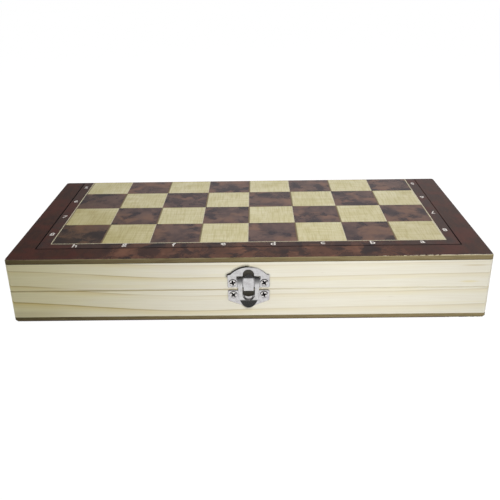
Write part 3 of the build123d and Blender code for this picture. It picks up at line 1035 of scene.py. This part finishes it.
def nickel(
    name, colour, gloss, streak_axis, edge=0.15, grime_and_shade_reach=1.6,
    dishes=(), curl=None, painted_shade=None, shaded_wall=None, metal=1.0,
):
    """Bright plating with faint rolling streaks along X or Z, and painted shade and grime in its crevices.
    Less metal is duller.

    Dishes are the (x, z) places of screws, and a curl is (low, high, drop). Painted shade is the name of an
    attribute that says how black a point is painted as shade, and a shaded wall is a function that says so."""
    f = Finish(name)
    streaks = f.noise(f.stretch(f.mm, *rolled[streak_axis]), 0.25, detail=3.0, roughness=0.6)
    spots = f.noise(f.mm, 2.4, detail=4.0, roughness=0.6)
    # Painted shade: the share below drops in crevices that the Ambient Occlusion node finds, in dish
    # crescents, in screw recesses and on cut walls.
    open_to_air = f.open_to_air(grime_and_shade_reach)
    clean_and_lit = f.between(f.plus(open_to_air, f.times(f.minus(spots, 0.5), 0.2)), 0.32, 0.92)
    clean_and_lit = dish_shadows(f, clean_and_lit, dishes)
    if painted_shade:
        clean_and_lit = f.times(clean_and_lit, f.minus(1.0, f.node("Attribute", attribute_name=painted_shade).outputs["Fac"]))
    if shaded_wall:
        clean_and_lit = f.times(clean_and_lit, f.minus(1.0, shaded_wall(f)))
    tint = f.mix(f.between(spots, 0.4, 0.7), colour, f.tinted(colour, cloudy_metal))
    rough = f.plus(gloss, f.times(f.minus(streaks, 0.5), 0.10))
    rough = f.plus(rough, f.times(f.between(spots, 0.45, 0.7), 0.06))
    rough = f.plus(rough, f.times(f.minus(1.0, clean_and_lit), 0.25), clamp=True)
    normal = f.node("Bevel", {"Radius": edge * MM}, samples=6).outputs["Normal"]
    if curl:
        normal = curled(f, normal, *curl)
    return f.finish(
        Base_Color=f.mix(clean_and_lit, grime_and_shade, tint),
        Metallic=metal,
        Roughness=rough,
        Normal=f.bump(streaks, 0.0015, normal),
    )


# %% Shaded walls and screw places
def behind_face(f):
    """1 on the cut walls of the hasp's sheet, and 0 at its front face."""
    return f.between(f.y, rail_face - 0.75, rail_face - 0.6)


def crown_wall(f):
    """Painted shade on the cut edge of the upper plate's sheet, along the left of its crown."""
    return f.times(left_of_crown(f), behind_face(f))


def catch_wall(f):
    """Painted shade on the cut edge along the top of the catch's sheet."""
    top = f.times(f.between(f.z, catch_high - 0.5, catch_high - 0.3), 0.9)
    return f.times(top, behind_face(f))


def screw_places(node):
    """The (x, z) of the two screws of a hasp node, in millimetres."""
    low, high = corners_in_mm(node)
    middle = 0.5 * (low[2] + high[2])
    return [(low[0] + screw_radius, middle), (high[0] - screw_radius, middle)]


screw_radius = 2.3
catch_high, arm_high = [corners_in_mm(node)[1][2] for node in ("latch_catch", "latch_arm")]
print("the catch ends at", round(catch_high, 1), "mm and the arm at", round(arm_high, 1), "mm")

# %% Finish the hasp and the hinges
curl_height = 9.0
curl_drop = 2.8
wear("latch_plate", nickel(
    "nickel plate", seen(203, 202, 202), 0.2, "X", grime_and_shade_reach=1.3,
    dishes=screw_places("latch_screws"), shaded_wall=crown_wall,
))
wear("latch_catch", nickel(
    "nickel catch", seen(203, 201, 201), 0.2, "X", grime_and_shade_reach=0.9,
    dishes=screw_places("catch_screws"), shaded_wall=catch_wall,
))
wear("latch_arm", nickel(
    "nickel arm", seen(206, 205, 204), 0.17, "Z", grime_and_shade_reach=1.0,
    curl=(arm_high - curl_height, arm_high, curl_drop),
))
hinge_metal = nickel("nickel hinge", seen(196, 192, 186), 0.34, "X", grime_and_shade_reach=0.8, metal=0.55)
pin_metal = nickel("steel pin", seen(180, 177, 172), 0.36, "X", grime_and_shade_reach=0.8, metal=0.55)
for side in ("left", "right"):
    wear(side + "_hinge_base_leaf", hinge_metal)
    wear(side + "_hinge_lid_leaf", hinge_metal)
    wear(side + "_hinge_pin", pin_metal)
print("metal finishes: plate, catch, arm, hinge and pin")

# %% [markdown]
# ## Cross-recess screws
#
# A screw is a shape of revolution with one exception, the cross that is struck into its head. A polar
# grid suits both: rows of the grid run from the middle of the head over the rim and down the shank, and
# the columns go round. The head's rows are pushed down wherever they lie inside the cross. The hasp has
# domed screws that sit in dished holes, and the hinges have flat ones flush with their leaves.

# %% The screw's surface
screw_columns = 96
head_rows = 40
recess_wall = 0.07


def recess(across, along, arm, half_width, depth):
    """The depth of the cross at each point: full in the middle and 0.6 of it at the arms' ends.

    A point lies in the cross if its smaller coordinate is below the half width and its larger one is
    below the arm, and both limits are softened over the wall's width."""
    near = np.minimum(np.abs(across), np.abs(along))
    far = np.maximum(np.abs(across), np.abs(along))
    inside = np.clip((half_width - near) / recess_wall, 0, 1) * np.clip((arm - far) / recess_wall, 0, 1)
    return inside * depth * (1 - 0.4 * far / arm)


def screw_surface(head, dome, rim, profile, turn, cross):
    """Rows of (across, along, out, black): the head is rim + dome (1 - (r / head)^2), then the profile.

    Black is painted shade in the cross, from 0 to 1, growing with its depth."""
    angle = np.linspace(0, 2 * np.pi, screw_columns, endpoint=False)
    rest = np.array(profile)
    radius = np.concatenate((np.linspace(0, head, head_rows), rest[:, 0]))
    out = np.concatenate((rim + dome * (1 - np.linspace(0, 1, head_rows) ** 2), rest[:, 1]))
    radius, angle = np.meshgrid(radius, angle, indexing="ij")
    out = np.repeat(out[:, None], screw_columns, axis=1)
    across = radius * np.cos(angle - math.radians(turn))
    along = radius * np.sin(angle - math.radians(turn))
    struck = recess(across[:head_rows], along[:head_rows], *cross)
    out[:head_rows] -= struck
    black = np.zeros_like(out)
    black[:head_rows] = np.clip(2.5 * struck / cross[2], 0, 1)
    return np.stack((radius * np.cos(angle), radius * np.sin(angle), out, black), axis=-1)


print("each screw is a grid of", screw_columns, "columns")


# %% Screws as one piece
def merge(mesh):
    """Joins the points that coincide at the screws' poles, and turns all faces outwards."""
    shape = bmesh.new()
    shape.from_mesh(mesh)
    bmesh.ops.remove_doubles(shape, verts=shape.verts, dist=1e-7)
    bmesh.ops.recalc_face_normals(shape, faces=shape.faces)
    shape.to_mesh(mesh)
    shape.free()


def seated(made, seats):
    """The points and faces of screws in their seats. A seat is (middle, right, up, out), in millimetres."""
    points, faces = [], []
    for surface, (middle, *directions) in zip(made, seats):
        rows, columns, _ = surface.shape
        index = len(points) * rows * columns + np.arange(rows * columns).reshape(rows, columns)
        points.append(surface[..., :3].reshape(-1, 3) @ np.array(directions, float) + middle)
        beside = np.roll(index, -1, axis=1)
        quads = np.stack((index[:-1], index[1:], beside[1:], beside[:-1]), axis=-1)
        faces.append(quads.reshape(-1, 4))
    return np.concatenate(points) * MM, np.concatenate(faces)


def screws(name, node, body, made, seats):
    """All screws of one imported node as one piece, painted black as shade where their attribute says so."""
    points, faces = seated(made, seats)
    mesh = bpy.data.meshes.new(name)
    mesh.from_pydata(points.tolist(), [], faces.tolist())
    black = np.concatenate([surface[..., 3].ravel() for surface in made])
    # Painted shade: how black each point of the cross recesses is.
    mesh.attributes.new("painted_shade", "FLOAT", "POINT").data.foreach_set("value", black.astype(np.float32))
    merge(mesh)
    mesh.materials.append(screw_metal)
    mesh.shade_smooth()
    mesh.set_sharp_from_angle(angle=math.radians(crease_angle))
    piece = put(name, mesh)
    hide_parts(node)
    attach(piece, body)
    print(name, len(made), "screws,", len(mesh.polygons), "faces")


crease_angle = 32.0
# The screws' finish paints their recesses black as shade, by the attribute.
screw_metal = nickel("nickel screws", seen(226, 223, 220), 0.16, "X", edge=0.05, grime_and_shade_reach=0.1, painted_shade="painted_shade")

# %% The hasp's domed screws
dish, dome, rim = 0.35, 0.22, 0.55
domed_profile = [
    (screw_radius, dish + 0.12), (screw_radius - 0.06, dish), (1.2, 0.05), (1.2, -7.0), (0.0, -7.5),
]
domed_cross = (1.95, 0.6, 0.9)
forwards = ((1, 0, 0), (0, 0, 1), (0, -1, 0))
for body, node, turns in (("lid", "latch_screws", (10, 35)), ("base", "catch_screws", (40, 15))):
    seats = [((x, rail_face, z), *forwards) for x, z in screw_places(node)]
    made = [
        screw_surface(screw_radius, dome, dish + rim, domed_profile, turn, domed_cross) for turn in turns
    ]
    screws(node + "_shown", node, body, made, seats)

# %% The hinges' flat screws
flat_radius = 1.56
flat_profile = [(flat_radius, -0.04), (0.8, -0.8), (0.8, -7.4), (0.0, -8.0)]
flat_cross = (1.0, 0.24, 0.6)
flat_turns = (12, 48, 71, 30)
hinge_middle = 100.0
screw_step = 8.0
for body, facing in (("base", 1), ("lid", -1)):
    node = body + "_hinge_screws"
    low, high = corners_in_mm(node)
    level = high[2] if facing > 0 else low[2]
    row = 0.5 * (low[1] + high[1])
    xs = [side * hinge_middle + step for side in (-1, 1) for step in (-screw_step, screw_step)]
    upright = ((facing, 0, 0), (0, 1, 0), (0, 0, facing))
    seats = [((x, row, level), *upright) for x in xs]
    made = [screw_surface(flat_radius, 0.0, 0.0, flat_profile, turn, flat_cross) for turn in flat_turns]
    screws(node + "_shown", node, body, made, seats)

# %% [markdown]
# ## Floor and light
#
# The photograph has a pure white ground. The floor is a matt white sheet, which the camera sees mostly
# as white light, so that only a faint shadow stays. The key is a soft box straight ahead whose grid makes
# its beam narrow, and the box's left end lies at the beam's edge, which is why the wood turns grey there.
# A box overhead and two low ones behind light the top, the sides and the back, and a pale sky fills the
# rest. Polished metal mirrors its surroundings, so it is given some: for mirrored rays alone the lamps are
# hidden, and the sky is pale low in front, dark overhead, and has a bright window high at either side.

# %% Floor
floor_size = 6.0
floor_level = -0.02 * MM
floor_glow = 1.12
shadow_share = 0.12
floor_mesh = bpy.data.meshes.new("floor")
corners = rectangle(-floor_size / 2, -floor_size / 2, floor_size / 2, floor_size / 2)
floor_mesh.from_pydata(np.column_stack((corners, np.full(4, floor_level))).tolist(), [], [(0, 1, 2, 3)])
floor = put("floor", floor_mesh)

paper = Finish("white floor")
paper.finish(Base_Color=grey(0.55), Roughness=0.9, Specular_IOR_Level=0.0)
glow = paper.node("Emission", {"Color": white, "Strength": floor_glow}).outputs[0]
path = paper.node("LightPath").outputs
shown = paper.math("MAXIMUM", path["Is Camera Ray"], path["Is Transmission Ray"])
shown = paper.math("MAXIMUM", shown, path["Is Glossy Ray"])
share = paper.times(shown, 1.0 - shadow_share)
blend = paper.node("MixShader", {0: share, 1: paper.shader.outputs[0], 2: glow}).outputs[0]
output = next(node for node in paper.tree.nodes if node.type == "OUTPUT_MATERIAL")
paper.feed(output.inputs["Surface"], blend)
floor_mesh.materials.append(paper.material)
print("floor", floor_size, "m wide; shadows keep", shadow_share, "of their depth")

# %% Sky
world = bpy.data.worlds.new("studio")
world.use_nodes = True
bpy.context.scene.world = world
sky = Palette(world.node_tree)
side, depth, height = sky.axes(sky.node("TexCoord").outputs["Generated"])[:3]


def greys(stops):
    """A grey for each height of a ray, from stops of (height, grey)."""
    return sky.ramp(height, [(place, grey(brightness)) for place, brightness in stops], smooth=False)


def window(side_limits, height_limits):
    """How much a ray meets a bright window that stands high at one side, from 0 to 1."""
    return sky.times(sky.between(side, *side_limits), sky.between(height, *height_limits))


in_front = greys([(0.0, 0.95), (0.08, 0.7), (0.3, 0.3), (0.5, 0.14), (0.8, 0.07)])
behind = greys([(0.24, 0.34), (0.33, 0.44), (0.40, 0.10), (0.50, 0.10), (0.62, 0.55), (0.85, 0.3)])
dimmer_to_left = sky.plus(0.35, sky.times(sky.between(side, -0.34, 0.0), 0.65))
behind = sky.vector("SCALE", behind, Scale=dimmer_to_left)
mirrored = sky.mix(sky.between(depth, 0.2, 0.7), in_front, behind)
windows = sky.math("MAXIMUM", window((0.22, 0.48), (0.35, 0.60)), window((-0.62, -0.80), (0.20, 0.45)))
mirrored = sky.mix(windows, mirrored, grey(0.95))
print("sky nodes:", len(sky.tree.nodes))

# %% What each kind of ray meets
fill_light = (0.22, 0.22, 0.225, 1.0)
path = sky.node("LightPath").outputs
light = sky.mix(path["Is Glossy Ray"], fill_light, mirrored)
shown = sky.math("MAXIMUM", path["Is Camera Ray"], path["Is Transmission Ray"])
sky.feed(sky.tree.nodes["Background"].inputs["Color"], sky.mix(shown, light, white))
print("the sky fills the shadows with", fill_light[:3])


# %% Lamps
def soft_box(name, place, aim, size, power, spread=180.0):
    """A square soft box at a place, turned towards a point, both in metres. The camera doesn't see it.

    A grid in front of it narrows its beam to the spread, in degrees."""
    data = bpy.data.lights.new(name, "AREA")
    data.shape = "SQUARE"
    data.size = size
    data.energy = power
    data.spread = math.radians(spread)
    box = put(name, data)
    box.location = place
    box.rotation_euler = (Vector(place) - Vector(aim)).to_track_quat("Z", "Y").to_euler()
    box.visible_camera = False
    box.visible_glossy = False


soft_box("key", (0.08, -0.90, 0.577), (0.067, -0.029, 0.0), 0.20, 0.340, spread=34.7)
soft_box("overhead", (0.10, 0.16, 0.70), (0.04, 0.02, 0.05), 0.5, 1.5)
for side in (-1.0, 1.0):
    soft_box("rear", (0.70 * side, 0.50, 0.45), (0.0, 0.05, 0.03), 0.3, 3.0)
